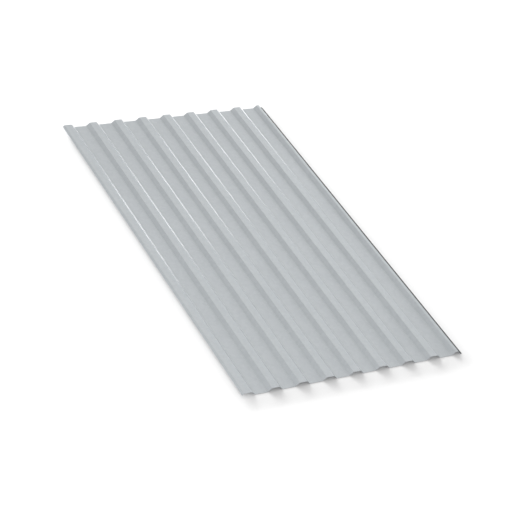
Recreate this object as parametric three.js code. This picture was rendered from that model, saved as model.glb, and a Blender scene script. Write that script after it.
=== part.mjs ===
// A trapezoidal profiled roofing and cladding sheet, cold roll-formed from one strip of
// zinc-coated steel. Millimetres; X across the ribs, Y along them, Z up.
// The origin is the middle of the underside, on the plane that the sheet lies on.
import * as THREE from "three";

// Driving dimensions
const SHEET_LENGTH = 2000; // along the ribs
const GAUGE = 0.7; // thickness of the steel
const RIB_PITCH = 137.5; // from one rib to the next
const PITCHES_ACROSS = 8; // what one laid sheet covers: 8 x 137.5 = 1100 mm
const RIB_HEIGHT = 17.3; // from valley to crest, measured on one face of the steel
const CREST_FLAT = 37; // crest of an inner rib, corner to corner
const WEB_RUN = 17.25; // how far a sloping web travels sideways
const BEND_RADIUS = 4; // at the middle of the gauge

// The edge rib that laps over the next sheet: a full crest, slightly wide, and a short lip
const OVERLAP_CREST = 39;
const LIP_RUN = 8;
const LIP_DROP = 7.8;

// The edge rib that the next sheet covers: a narrow crest, a full web and a foot to stand on
const UNDERLAP_CREST = 13.5;
const FOOT_RUN = 7;

// Facets
const ARC_STEPS = 3; // half the number of flats that make one bend

const SHARE_OF_FLAT = 0.48; // a bend may take at most this much of the flat beside it

// Corners of the section's middle line, from the lip's cut edge to the foot's, with the
// valleys on height 0. Rib 0 laps over, rib PITCHES_ACROSS is lapped.
function sectionCorners() {
  const corners = [new THREE.Vector2(-LIP_RUN, RIB_HEIGHT - LIP_DROP)];
  for (let rib = 0; rib <= PITCHES_ACROSS; rib++) {
    const left = rib * RIB_PITCH;
    const isFirst = rib === 0;
    const isLast = rib === PITCHES_ACROSS;
    const crest = isFirst ? OVERLAP_CREST : isLast ? UNDERLAP_CREST : CREST_FLAT;
    if (!isFirst) corners.push(new THREE.Vector2(left - WEB_RUN, 0));
    corners.push(new THREE.Vector2(left, RIB_HEIGHT));
    corners.push(new THREE.Vector2(left + crest, RIB_HEIGHT));
    corners.push(new THREE.Vector2(left + crest + WEB_RUN, 0));
  }
  const footStart = corners[corners.length - 1];
  corners.push(new THREE.Vector2(footStart.x + FOOT_RUN, 0));
  return corners;
}

// One bend of the middle line: the centre of its arc and the angles where the arc starts
// and ends. A bend between two short flats gets a smaller radius, so that flats remain.
function bendAt(before, corner, after) {
  const into = corner.clone().sub(before);
  const out = after.clone().sub(corner);
  const room = SHARE_OF_FLAT * Math.min(into.length(), out.length());
  const side = Math.sign(into.cross(out)); // +1 turns left, -1 turns right
  const turn = Math.abs(into.angleTo(out));
  const radius = Math.min(BEND_RADIUS, room / Math.tan(turn / 2));
  const tangent = radius * Math.tan(turn / 2);
  const toCentre = new THREE.Vector2(-into.y, into.x).setLength(side * radius);
  const centre = corner.clone().sub(into.clone().setLength(tangent)).add(toCentre);
  const start = Math.atan2(into.y, into.x) - (side * Math.PI) / 2;
  return { centre, radius, side, start, end: start + side * turn };
}

// A point beside the middle line at one of its cut edges, offset to the left of the way
// it runs
function edgePoint(edge, next, offset, direction) {
  const along = next.clone().sub(edge).multiplyScalar(direction);
  return edge.clone().add(new THREE.Vector2(-along.y, along.x).setLength(offset));
}

// The closed outline of the steel: back along the upper face and out along the lower one,
// each half the gauge away from the middle line, with every bend an arc about one centre.
function sectionShape() {
  const corners = sectionCorners();
  const last = corners.length - 1;
  const bends = corners
    .slice(1, last)
    .map((corner, i) => bendAt(corners[i], corner, corners[i + 2]));
  const half = GAUGE / 2;
  const lipTop = edgePoint(corners[0], corners[1], half, 1);
  const lipUnder = edgePoint(corners[0], corners[1], -half, 1);
  const footTop = edgePoint(corners[last], corners[last - 1], half, -1);
  const footUnder = edgePoint(corners[last], corners[last - 1], -half, -1);

  const shape = new THREE.Shape();
  shape.moveTo(lipTop.x, lipTop.y);
  shape.lineTo(lipUnder.x, lipUnder.y);
  for (const { centre, radius, side, start, end } of bends)
    shape.absarc(centre.x, centre.y, radius + side * half, start, end, side < 0);
  shape.lineTo(footUnder.x, footUnder.y);
  shape.lineTo(footTop.x, footTop.y);
  for (const { centre, radius, side, start, end } of bends.reverse())
    shape.absarc(centre.x, centre.y, radius - side * half, end, start, side > 0);
  shape.closePath();
  return shape;
}

// The section carried along the ribs, turned so that it stands up in Z, and centred
function sheetGeometry() {
  const geometry = new THREE.ExtrudeGeometry(sectionShape(), {
    depth: SHEET_LENGTH,
    bevelEnabled: false,
    curveSegments: ARC_STEPS,
  });
  geometry.rotateX(Math.PI / 2);
  geometry.computeBoundingBox();
  const middle = geometry.boundingBox.getCenter(new THREE.Vector3());
  geometry.translate(-middle.x, -middle.y, -geometry.boundingBox.min.z);
  return geometry;
}

// Skin-passed hot-dip zinc: an even, cool light grey with a satin sheen
const zincCoatedSteel = new THREE.MeshStandardMaterial({
  color: 0xc4c9cc,
  roughness: 0.42,
  metalness: 0.6,
});

const profiledSheet = new THREE.Mesh(sheetGeometry(), zincCoatedSteel);
profiledSheet.name = "profiled_sheet";

const part = new THREE.Group();
part.add(profiledSheet);

export default part;
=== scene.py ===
"""A trapezoidal profiled sheet of zinc-coated steel, lying on a pale studio floor.

Metres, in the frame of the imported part: X across the ribs, Y along them, Z up, with the
sheet's valleys on Z = 0.
"""

import logging
import math
from dataclasses import dataclass, field
from enum import Enum

import bpy
import numpy as np
from mathutils import Matrix, Vector


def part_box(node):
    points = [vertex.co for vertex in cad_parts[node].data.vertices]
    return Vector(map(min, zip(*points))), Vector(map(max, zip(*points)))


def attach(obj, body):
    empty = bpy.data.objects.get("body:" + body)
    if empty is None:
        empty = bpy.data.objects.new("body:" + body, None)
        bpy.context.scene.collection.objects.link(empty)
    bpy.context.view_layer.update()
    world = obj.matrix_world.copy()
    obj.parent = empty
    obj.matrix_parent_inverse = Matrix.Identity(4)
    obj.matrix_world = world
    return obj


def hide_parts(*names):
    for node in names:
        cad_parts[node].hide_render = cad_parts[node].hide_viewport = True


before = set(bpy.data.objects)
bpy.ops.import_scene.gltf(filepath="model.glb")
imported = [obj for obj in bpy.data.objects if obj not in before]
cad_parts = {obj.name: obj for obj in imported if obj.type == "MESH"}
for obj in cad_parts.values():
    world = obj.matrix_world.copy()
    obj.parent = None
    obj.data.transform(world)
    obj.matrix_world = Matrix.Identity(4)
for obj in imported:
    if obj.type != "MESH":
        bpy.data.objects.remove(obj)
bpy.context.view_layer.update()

log = logging.getLogger("profiled_sheet")

MM = 0.001
GOLDEN_RATIO = 0.618034
WHITE = (1.0, 1.0, 1.0, 1.0)
NODE = "profiled_sheet"


# --------------------------------------------------------------------------- colours, nodes


def linear(hex_colour: str) -> tuple[float, float, float, float]:
    """Turns an sRGB hex colour into linear RGBA.

    Args:
        hex_colour: a colour such as "#C4C9CC".

    Returns:
        Red, green, blue and alpha, with the sRGB curve undone and alpha 1.
    """
    channels = np.array([int(hex_colour[i : i + 2], 16) for i in (1, 3, 5)]) / 255
    curve = np.where(
        channels <= 0.04045, channels / 12.92, ((channels + 0.055) / 1.055) ** 2.4
    )
    return (*(float(c) for c in curve), 1.0)


def add(tree: bpy.types.NodeTree, kind: str, **settings: object) -> bpy.types.Node:
    """Adds one node, sets it up and links it.

    Args:
        tree: the node tree that gets the node.
        kind: the node's type name, such as "ShaderNodeTexNoise".
        **settings: a key that is an input's name with its spaces as underscores sets that
            input, to a number, a colour or another node's output; "in0", "in1" and so on
            set an input by its place, where several share a name; any other key sets the
            node's own property.

    Returns:
        The new node.
    """
    node = tree.nodes.new(kind)
    plain = {k: v for k, v in settings.items() if hasattr(node, k)}
    for key, value in plain.items():
        setattr(node, key, value)
    by_name = {s.name.replace(" ", "_"): s for s in reversed(list(node.inputs))}
    for key, value in settings.items():
        if key in plain:
            continue
        by_place = key[:2] == "in" and key[2:].isdigit()
        socket = node.inputs[int(key[2:])] if by_place else by_name[key]
        if isinstance(value, bpy.types.NodeSocket):
            tree.links.new(value, socket)
        else:
            socket.default_value = value
    return node


def new_material(name: str) -> tuple[bpy.types.Material, bpy.types.NodeTree]:
    """Makes an empty node material.

    Args:
        name: the finish's name.

    Returns:
        The material and its cleared node tree.
    """
    material = bpy.data.materials.new(name)
    material.use_nodes = True
    material.node_tree.nodes.clear()
    return material, material.node_tree


# --------------------------------------------------------------------------- finishes


@dataclass(frozen=True)
class ZincCoat:
    """Hot-dip zinc, skin-passed: the spangle is rolled flat, so the metal reads as an even,
    cool, satin grey with a faint cloudiness and fine lines along the rolling direction."""

    name: str
    light: str
    dark: str
    metallic: float
    roughness: float
    film: float = 0.9  # clear passivation film over the zinc, which gives the thin glints
    film_roughness: float = 0.10
    film_ior: float = 1.75
    cloud_mm: float = 220.0  # slow drift in the brightness of the coating
    cloud_detail: float = 3.0
    cloud_share: float = 0.35
    spangle_mm: float = 14.0  # what is left of the flattened zinc crystals
    spangle_share: float = 0.35
    line_mm: float = 2.2  # rolling lines, drawn coarser than the real 0.2 mm so that they show
    line_length_mm: float = 900.0
    line_detail: float = 4.0
    line_share: float = 0.30
    gloss_swing: float = 0.04  # how far the patterns move the roughness either way
    peel_mm: float = 0.012  # waviness of the solidified zinc

    def build(self) -> bpy.types.Material:
        """Builds the material: the three patterns added up set its shade, gloss and bump.

        Returns:
            The new material.
        """
        material, tree = new_material(self.name)
        place = add(tree, "ShaderNodeTexCoord").outputs["Object"]
        clouds = add(
            tree,
            "ShaderNodeTexNoise",
            Vector=place,
            Scale=1 / (self.cloud_mm * MM),
            Detail=self.cloud_detail,
        )
        spangle = add(
            tree, "ShaderNodeTexVoronoi", Vector=place, Scale=1 / (self.spangle_mm * MM)
        )
        crystal = add(tree, "ShaderNodeSeparateColor", Color=spangle.outputs["Color"])
        across = 1 / (self.line_mm * MM)
        stretch = (across, 1 / (self.line_length_mm * MM), across)
        along = add(tree, "ShaderNodeMapping", Vector=place, Scale=stretch)
        lines = add(
            tree,
            "ShaderNodeTexNoise",
            Vector=along.outputs["Vector"],
            Scale=1.0,
            Detail=self.line_detail,
        )
        shade = self.weighted(
            tree,
            [
                (clouds.outputs["Fac"], self.cloud_share),
                (crystal.outputs["Red"], self.spangle_share),
                (lines.outputs["Fac"], self.line_share),
            ],
        )
        colour = add(
            tree,
            "ShaderNodeMix",
            data_type="RGBA",
            Factor=shade,
            in6=linear(self.dark),
            in7=linear(self.light),
        )
        gloss = add(
            tree,
            "ShaderNodeMapRange",
            Value=shade,
            To_Min=self.roughness - self.gloss_swing,
            To_Max=self.roughness + self.gloss_swing,
        )
        bump = add(tree, "ShaderNodeBump", Distance=self.peel_mm * MM, Height=shade)
        shader = add(
            tree,
            "ShaderNodeBsdfPrincipled",
            Base_Color=colour.outputs[2],
            Roughness=gloss.outputs["Result"],
            Metallic=self.metallic,
            Coat_Weight=self.film,
            Coat_Roughness=self.film_roughness,
            Coat_IOR=self.film_ior,
            Normal=bump.outputs["Normal"],
        )
        add(tree, "ShaderNodeOutputMaterial", Surface=shader.outputs["BSDF"])
        return material

    @staticmethod
    def weighted(
        tree: bpy.types.NodeTree, parts: list[tuple[bpy.types.NodeSocket, float]]
    ) -> bpy.types.NodeSocket:
        """Adds patterns up, each with its own weight.

        Args:
            tree: the material's node tree.
            parts: each pattern's output and its weight; the weights add up to 1.

        Returns:
            The output of the last sum.
        """
        total: bpy.types.NodeSocket | float = 0.0
        for value, weight in parts:
            total = add(
                tree,
                "ShaderNodeMath",
                operation="MULTIPLY_ADD",
                in0=value,
                in1=weight,
                in2=total,
            ).outputs["Value"]
        return total


@dataclass(frozen=True)
class BareSteelAndPaintedShade:
    """A dark, rough finish with a fine uneven grain: bare steel where the zinc is sheared off,
    and painted shade on the foot."""

    name: str
    light: str
    dark: str
    metallic: float
    roughness: float
    grain_mm: float
    grain_detail: float = 2.0

    def build(self) -> bpy.types.Material:
        """Builds the material: the grain mixes its two colours.

        Returns:
            The new material.
        """
        material, tree = new_material(self.name)
        place = add(tree, "ShaderNodeTexCoord").outputs["Object"]
        grain = add(
            tree,
            "ShaderNodeTexNoise",
            Vector=place,
            Scale=1 / (self.grain_mm * MM),
            Detail=self.grain_detail,
        )
        colour = add(
            tree,
            "ShaderNodeMix",
            data_type="RGBA",
            Factor=grain.outputs["Fac"],
            in6=linear(self.dark),
            in7=linear(self.light),
        )
        shader = add(
            tree,
            "ShaderNodeBsdfPrincipled",
            Base_Color=colour.outputs[2],
            Roughness=self.roughness,
            Metallic=self.metallic,
        )
        add(tree, "ShaderNodeOutputMaterial", Surface=shader.outputs["BSDF"])
        return material


@dataclass(frozen=True)
class PaleFloor:
    """Matt pale studio floor. What the camera, metal and glass see of it is lifted a little,
    so that it reads as white, and it keeps the shadow."""

    name: str = "matt_pale_floor"
    colour: str = "#D0D0D0"
    lift: float = 0.12

    def build(self) -> bpy.types.Material:
        """Builds the material: a matt surface, and the lift where the ray kind asks for it.

        Returns:
            The new material.
        """
        material, tree = new_material(self.name)
        path = add(tree, "ShaderNodeLightPath")
        seen = add(
            tree,
            "ShaderNodeMath",
            operation="MAXIMUM",
            in0=path.outputs["Is Camera Ray"],
            in1=path.outputs["Is Glossy Ray"],
        )
        seen = add(
            tree,
            "ShaderNodeMath",
            operation="MAXIMUM",
            in0=seen.outputs["Value"],
            in1=path.outputs["Is Transmission Ray"],
        )
        strength = add(
            tree, "ShaderNodeMath", operation="MULTIPLY", in0=seen.outputs["Value"], in1=self.lift
        )
        glow = add(
            tree, "ShaderNodeEmission", Color=WHITE, Strength=strength.outputs["Value"]
        )
        matt = add(tree, "ShaderNodeBsdfDiffuse", Color=linear(self.colour))
        both = add(
            tree, "ShaderNodeAddShader", in0=matt.outputs["BSDF"], in1=glow.outputs["Emission"]
        )
        add(tree, "ShaderNodeOutputMaterial", Surface=both.outputs["Shader"])
        return material


# --------------------------------------------------------------------------- the sheet


class Side(Enum):
    """The two faces of the strip, as the sign of the offset from its middle line."""

    UPPER = 1
    UNDER = -1


class Finish(Enum):
    """The sheet's finishes, as the places of their materials on its mesh."""

    COAT = 0
    BACK = 1
    EDGE = 2
    # painted shade: a dark grey on the foot, in place of the shade that falls there
    MARGIN = 3


@dataclass
class Section:
    """The sheet's section, as a chain of flats joined by bends. Sizes in metres."""

    pitch: float = 137.5 * MM
    pitches: int = 8
    rib_height: float = 17.3 * MM
    crest: float = 37.0 * MM
    web_run: float = 17.25 * MM
    gauge: float = 0.7 * MM
    bend_radius: float = 4.0 * MM
    overlap_crest: float = 39.0 * MM
    lip_run: float = 8.0 * MM
    lip_drop: float = 7.8 * MM
    underlap_crest: float = 13.5 * MM
    foot_run: float = 7.0 * MM
    share_of_flat: float = 0.48  # the most of a flat that the bend beside it may take
    bend_steps: int = 7
    flat_steps: int = 8

    def corners(self) -> np.ndarray:
        """Corners of the middle line, from the lip's edge to the foot's.

        Each rib is the same four steps (up a web, along a crest, down a web, along a valley)
        repeated every pitch; the first rib starts with the lip in place of a web, and the
        last has a narrow crest.

        Returns:
            An array of x and z, one row a corner, with the valleys on z = 0.
        """
        left = self.pitch * np.arange(self.pitches + 1)
        crest = np.full(self.pitches + 1, self.crest)
        crest[0], crest[-1] = self.overlap_crest, self.underlap_crest
        x = np.stack(
            [left - self.web_run, left, left + crest, left + crest + self.web_run], axis=1
        ).ravel()
        z = np.tile([0, self.rib_height, self.rib_height, 0], self.pitches + 1)
        x[0], z[0] = -self.lip_run, self.rib_height - self.lip_drop
        return np.column_stack([np.append(x, x[-1] + self.foot_run), np.append(z, 0.0)])

    def middle_line(self) -> tuple[np.ndarray, np.ndarray, np.ndarray, np.ndarray]:
        """The middle line as points, with what is needed to give it thickness.

        A bend at a corner is an arc that touches both flats: its centre lies one radius
        beside the first flat, and its points are centre + radius * (cos a, sin a) with the
        angle a going from one flat's normal to the other's. Points on a flat stand closer
        together near its ends, at 0.5 - 0.5 cos(pi k / n) of its length.

        Returns:
            Points (n, 2), unit normals to the left of the way it runs (n, 2), the place
            along the flat from 0 to 1, or 0 in a bend (n,), and the flat's number (n,).
        """
        corner = self.corners()
        leg = np.diff(corner, axis=0)
        length = np.linalg.norm(leg, axis=1)
        unit = leg / length[:, None]
        turn = np.arctan2(
            unit[:-1, 0] * unit[1:, 1] - unit[:-1, 1] * unit[1:, 0],
            (unit[:-1] * unit[1:]).sum(axis=1),
        )
        half = np.tan(np.abs(turn) / 2)
        room = self.share_of_flat * np.minimum(length[:-1], length[1:])
        radius = np.minimum(self.bend_radius, room / half)
        tangent = radius * half
        side = np.sign(turn)
        normal = np.column_stack([-unit[:, 1], unit[:, 0]])
        centre = (
            corner[1:-1]
            - unit[:-1] * tangent[:, None]
            + normal[:-1] * (side * radius)[:, None]
        )
        first = np.arctan2(normal[:-1, 1], normal[:-1, 0])
        share = np.linspace(0, 1, self.bend_steps + 1)[1:-1]
        angle = first[:, None] + turn[:, None] * share
        bend_normal = np.stack([np.cos(angle), np.sin(angle)], axis=2)
        bend_point = centre[:, None] - bend_normal * (side * radius)[:, None, None]

        start = corner[:-1].copy()
        start[1:] += unit[1:] * tangent[:, None]
        end = corner[1:].copy()
        end[:-1] -= unit[:-1] * tangent[:, None]
        t = 0.5 - 0.5 * np.cos(np.pi * np.arange(self.flat_steps + 1) / self.flat_steps)
        flat_point = start[:, None] + (end - start)[:, None] * t[:, None]
        flat_normal = np.repeat(normal[:, None], len(t), axis=1)

        flats, bends = len(leg), len(turn)
        point = np.concatenate([flat_point[:bends], bend_point], axis=1).reshape(-1, 2)
        across = np.concatenate([flat_normal[:bends], bend_normal], axis=1).reshape(-1, 2)
        place = np.tile(np.append(t, np.zeros(len(share))), bends)
        number = np.repeat(np.arange(bends), len(t) + len(share))
        return (
            np.concatenate([point, flat_point[-1]]),
            np.concatenate([across, flat_normal[-1]]),
            np.append(place, t),
            np.append(number, np.full(len(t), flats - 1)),
        )


@dataclass
class ProfiledSheet:
    """The roll-formed sheet: one strip of steel, rolled to its section and sheared off.

    The mesh is the section's outline carried along the ribs. Its flats are very slightly
    drawn in between the bends, as thin rolled steel is, and never stand out of the solid.
    The foot's upper side and the bend beside it carry painted shade: a dark grey that stands
    in for the shade on the sheet's last web and foot.
    """

    section: Section = field(default_factory=Section)
    rows: int = 61  # rings of points along the ribs, without the one at each sheared end
    draw_in: float = 0.04 * MM  # the most that a flat bows
    wave_length: float = 550 * MM  # of the bow, along the ribs
    wave_spread: float = 120 * MM  # how far that differs from flat to flat
    shear_round: float = 0.12 * MM  # rounded-over arris that the shear leaves
    sharp_angle: float = 25.0  # degrees; a sharper corner between two faces is left unsmoothed
    coat: ZincCoat = ZincCoat(
        "skin_passed_hot_dip_zinc", "#CDD2D5", "#BCC2C6", metallic=0.5, roughness=0.45
    )
    back: ZincCoat = ZincCoat(
        "hot_dip_zinc_underside", "#C4C9CC", "#B9BFC3", metallic=0.5, roughness=0.5
    )
    edge: BareSteelAndPaintedShade = BareSteelAndPaintedShade(
        "sheared_steel_edge", "#8A8E91", "#5E6265", metallic=0.7, roughness=0.5, grain_mm=0.8
    )
    # painted shade: a dark grey laid on the foot's upper side, standing in for shade
    painted_shade: BareSteelAndPaintedShade = BareSteelAndPaintedShade(
        "rubbed_foot_margin", "#626567", "#4E5153", metallic=0.2, roughness=0.6, grain_mm=3.0
    )

    def bow(self, place: np.ndarray, number: np.ndarray, y: np.ndarray) -> np.ndarray:
        """How far each point of the sheet lies inside its flat.

        A flat bows by sin^2 of pi times the place across it, so by nothing at its bends,
        times a slow wave along the rib, 0.5 + 0.5 sin(2 pi y / length + phase). From flat
        to flat the phase steps by the golden ratio of a turn, and the length is
        wave_length + wave_spread sin(phase).

        Args:
            place: place across each point's flat, from 0 to 1.
            number: each point's flat.
            y: the rows' places along the ribs.

        Returns:
            An array (rows, points) from 0 to draw_in.
        """
        across = np.sin(np.pi * place) ** 2
        phase = 2 * np.pi * GOLDEN_RATIO * number
        length = self.wave_length + self.wave_spread * np.sin(phase)
        wave = 0.5 + 0.5 * np.sin(2 * np.pi * y[:, None] / length + phase)
        return self.draw_in * across * wave

    def face(self, side: Side, inset: float, y: np.ndarray) -> np.ndarray:
        """One face of the strip as a grid of points.

        A point is the middle line's, moved along its normal by half the gauge to the chosen
        side, less the inset, and along the same normal by the bow, towards the inside of
        the section's height.

        Args:
            side: which face.
            inset: how far this face is set into the strip.
            y: the rows' places along the ribs.

        Returns:
            An array (rows, points, 3).
        """
        point, normal, place, number = self.section.middle_line()
        inwards = np.where(point[:, 1] > self.section.rib_height / 2, -1.0, 1.0)
        bow = self.bow(place, number, y) * inwards
        offset = side.value * (self.section.gauge / 2 - inset) + bow
        grid = np.empty((len(y), len(point), 3))
        grid[:, :, 0] = point[:, 0] + normal[:, 0] * offset
        grid[:, :, 1] = y[:, None]
        grid[:, :, 2] = point[:, 1] + normal[:, 1] * offset
        return grid

    def outline(self, inset: float, y: np.ndarray) -> np.ndarray:
        """The strip's closed outline, repeated for each row.

        It runs along the upper face from the lip to the foot, and back along the under face.

        Args:
            inset: how far each face is set into the strip.
            y: the rows' places along the ribs.

        Returns:
            An array (rows, points, 3).
        """
        upper = self.face(Side.UPPER, inset, y)
        under = self.face(Side.UNDER, inset, y)
        return np.concatenate([upper, under[:, ::-1]], axis=1)

    def rings(self) -> np.ndarray:
        """The points of the mesh, one ring round the strip for each row.

        At each sheared end one more ring stands a shear_round further out, with both of its
        faces set in by as much. The whole is then set into the solid's box.

        Returns:
            An array (rows, points, 3).
        """
        low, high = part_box(NODE)
        length = high.y - low.y
        inner = np.linspace(-0.5, 0.5, self.rows) * (length - 2 * self.shear_round)
        y = np.concatenate([[-length / 2], inner, [length / 2]])
        ends = [0, -1]
        ring = self.outline(0.0, y)
        ring[ends] = self.outline(self.shear_round, y)[ends]
        ring[..., 0] += low.x - ring[..., 0].min()
        ring[..., 2] += low.z - ring[..., 2].min()
        return ring

    @staticmethod
    def faces(rows: int, points: int) -> np.ndarray:
        """The quads between neighbouring rings, then those that close the two ends.

        An end is closed across the strip's thickness: quad k joins points k and k + 1 of
        the upper face to the same two of the under face, which are numbered backwards.

        Args:
            rows: how many rings there are.
            points: how many points a ring has.

        Returns:
            An array (faces, 4) of point numbers.
        """
        index = np.arange(rows * points).reshape(rows, points)
        following = np.roll(index, -1, axis=1)
        walls = np.stack([index[:-1], index[1:], following[1:], following[:-1]], axis=2)
        k = np.arange(points // 2 - 1)
        cap = np.stack([k, k + 1, points - 2 - k, points - 1 - k], axis=1)
        return np.concatenate([walls.reshape(-1, 4), index[0][cap], index[-1][cap][:, ::-1]])

    def finishes(self, rows: int, points: int) -> np.ndarray:
        """Which finish each face gets, in the order of the faces.

        The upper face has the coat and the under face the back's. The upper side of the foot's
        flat and of the bend beside it gets painted shade, a dark grey. Both slit edges and both
        sheared ends are bare.

        Args:
            rows: how many rings there are.
            points: how many points a ring has.

        Returns:
            An array of values of Finish, one for each face.
        """
        foot_edge = points // 2 - 1
        lip_edge = points - 1
        foot = foot_edge - self.section.flat_steps - self.section.bend_steps
        column = np.tile(np.arange(points), rows - 1)
        row = np.repeat(np.arange(rows - 1), points)
        finish = np.where(column < foot_edge, Finish.COAT.value, Finish.BACK.value)
        # painted shade on the upper side of the foot and of the bend beside it
        finish[(column >= foot) & (column < foot_edge)] = Finish.MARGIN.value
        finish[(column == foot_edge) | (column == lip_edge)] = Finish.EDGE.value
        finish[(row == 0) | (row == rows - 2)] = Finish.EDGE.value
        caps = np.full(2 * foot_edge, Finish.EDGE.value)
        return np.concatenate([finish, caps]).astype(np.int32)

    def dress(self, mesh: bpy.types.Mesh) -> None:
        """Puts the finishes on the mesh, each at the place that Finish gives it.

        Args:
            mesh: the sheet's mesh.
        """
        looks = {
            Finish.COAT: self.coat,
            Finish.BACK: self.back,
            Finish.EDGE: self.edge,
            Finish.MARGIN: self.painted_shade,
        }
        for finish in Finish:
            mesh.materials.append(looks[finish].build())

    def build(self) -> bpy.types.Object:
        """Makes the mesh, dresses it and lets it stand for the CAD node.

        Returns:
            The finished object.
        """
        ring = self.rings()
        rows, points = ring.shape[:2]
        faces = self.faces(rows, points)
        mesh = bpy.data.meshes.new("steel_sheet")
        mesh.from_pydata(ring.reshape(-1, 3), [], faces)
        mesh.polygons.foreach_set("use_smooth", np.ones(len(faces), bool))
        mesh.polygons.foreach_set("material_index", self.finishes(rows, points))
        self.dress(mesh)
        mesh.update()
        mesh.set_sharp_from_angle(angle=math.radians(self.sharp_angle))
        sheet = bpy.data.objects.new("steel_sheet", mesh)
        bpy.context.scene.collection.objects.link(sheet)
        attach(sheet, "root")
        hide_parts(NODE)
        return sheet


# --------------------------------------------------------------------------- studio


@dataclass(frozen=True)
class Softbox:
    """One rectangular lamp that faces a point. Metres, watts and degrees."""

    name: str
    place: tuple[float, float, float]
    size: tuple[float, float]
    watts: float
    aim: tuple[float, float, float] = (0.0, 0.0, 0.0)
    roll: float = 0.0

    def build(self, only_on: bpy.types.Object | None = None) -> bpy.types.Object:
        """Hangs the lamp.

        Args:
            only_on: the one object that it lights, or None where it lights them all.

        Returns:
            The lamp.
        """
        data = bpy.data.lights.new(self.name, "AREA")
        data.shape = "RECTANGLE"
        data.size, data.size_y = self.size
        data.energy = self.watts
        lamp = bpy.data.objects.new(self.name, data)
        lamp.location = self.place
        upright = (Vector(self.aim) - Vector(self.place)).to_track_quat("-Z", "Y").to_matrix()
        lean = Matrix.Rotation(math.radians(self.roll), 3, "Z")
        lamp.rotation_euler = (upright @ lean).to_euler()
        lamp.visible_camera = False
        if only_on is not None:
            lit = bpy.data.collections.new("lit_by_" + self.name)
            lit.objects.link(only_on)
            lamp.light_linking.receiver_collection = lit
        bpy.context.scene.collection.objects.link(lamp)
        return lamp


@dataclass
class Studio:
    """Floor, lamps, world and camera.

    The strip draws the long glints along the bends, the window and the lamp on the right
    shade the ribs, and the one beside the lip lifts the webs. The floor's own lamp is a
    wide, low one far behind: the floor reads white by it, and the ribs' open ends and the
    lip throw their soft shadow forwards.
    """

    camera_place: tuple[float, float, float] = (-3.8391, -5.2505, 4.6913)
    camera_aim: tuple[float, float, float] = (-0.0528, -0.1755, 0.0)
    camera_roll: float = 15.136  # degrees
    lens: float = 116.68  # millimetres
    view_reach: float = 100.0  # how far the camera sees
    floor_size: float = 60.0
    floor_gap: float = 0.2 * MM
    world_level: float = 0.68
    lamps: tuple[Softbox, ...] = (
        Softbox("strip", (17.41, 18.72, 7.0), size=(2.18, 12.6), watts=310.0, roll=-15.1),
        Softbox("window", (2.66, 9.93, 12.26), size=(16.0, 12.0), watts=125.0),
        Softbox("right", (13.52, 0.0, 3.62), size=(16.0, 5.0), watts=300.0),
        Softbox("lip_side", (-2.5, -0.7, 1.6), size=(2.4, 2.0), watts=9.0),
    )
    floor_lamp: Softbox = Softbox(
        "floor_lamp", (-8.0, 58.1, 8.35), size=(160.0, 10.0), watts=370000.0
    )

    def floor(self) -> bpy.types.Object:
        """Lays the floor just under the sheet.

        Returns:
            The floor.
        """
        s = self.floor_size / 2
        z = -self.floor_gap
        mesh = bpy.data.meshes.new("floor")
        mesh.from_pydata([(-s, -s, z), (s, -s, z), (s, s, z), (-s, s, z)], [], [(0, 1, 2, 3)])
        mesh.materials.append(PaleFloor().build())
        floor = bpy.data.objects.new("floor", mesh)
        bpy.context.scene.collection.objects.link(floor)
        return floor

    def world(self) -> None:
        """Fills the room with even, plain light."""
        world = bpy.data.worlds.new("studio")
        world.use_nodes = True
        tree = world.node_tree
        tree.nodes.clear()
        sky = add(tree, "ShaderNodeBackground", Color=WHITE, Strength=self.world_level)
        add(tree, "ShaderNodeOutputWorld", Surface=sky.outputs["Background"])
        bpy.context.scene.world = world

    def camera(self) -> bpy.types.Object:
        """Places the camera: it looks from its place to its aim, rolled about that line.

        Returns:
            The camera, which is also made the scene's.
        """
        data = bpy.data.cameras.new("camera")
        data.lens = self.lens
        data.clip_end = self.view_reach
        camera = bpy.data.objects.new("camera", data)
        look = Vector(self.camera_aim) - Vector(self.camera_place)
        level = look.to_track_quat("-Z", "Y").to_matrix().to_4x4()
        roll = Matrix.Rotation(math.radians(self.camera_roll), 4, "Z")
        camera.matrix_world = Matrix.Translation(self.camera_place) @ level @ roll
        bpy.context.scene.collection.objects.link(camera)
        bpy.context.scene.camera = camera
        return camera

    def build(self) -> None:
        """Sets the whole studio up."""
        self.floor_lamp.build(only_on=self.floor())
        for lamp in self.lamps:
            lamp.build()
        self.world()
        self.camera()
        bpy.context.scene.view_settings.view_transform = "Standard"


def main() -> None:
    """Builds the studio and the sheet, and logs how many faces the sheet has."""
    logging.basicConfig(level=logging.INFO, format="%(message)s")
    Studio().build()
    sheet = ProfiledSheet().build()
    log.info("%s: %d faces", sheet.name, len(sheet.data.polygons))


if __name__ == "__main__":
    main()
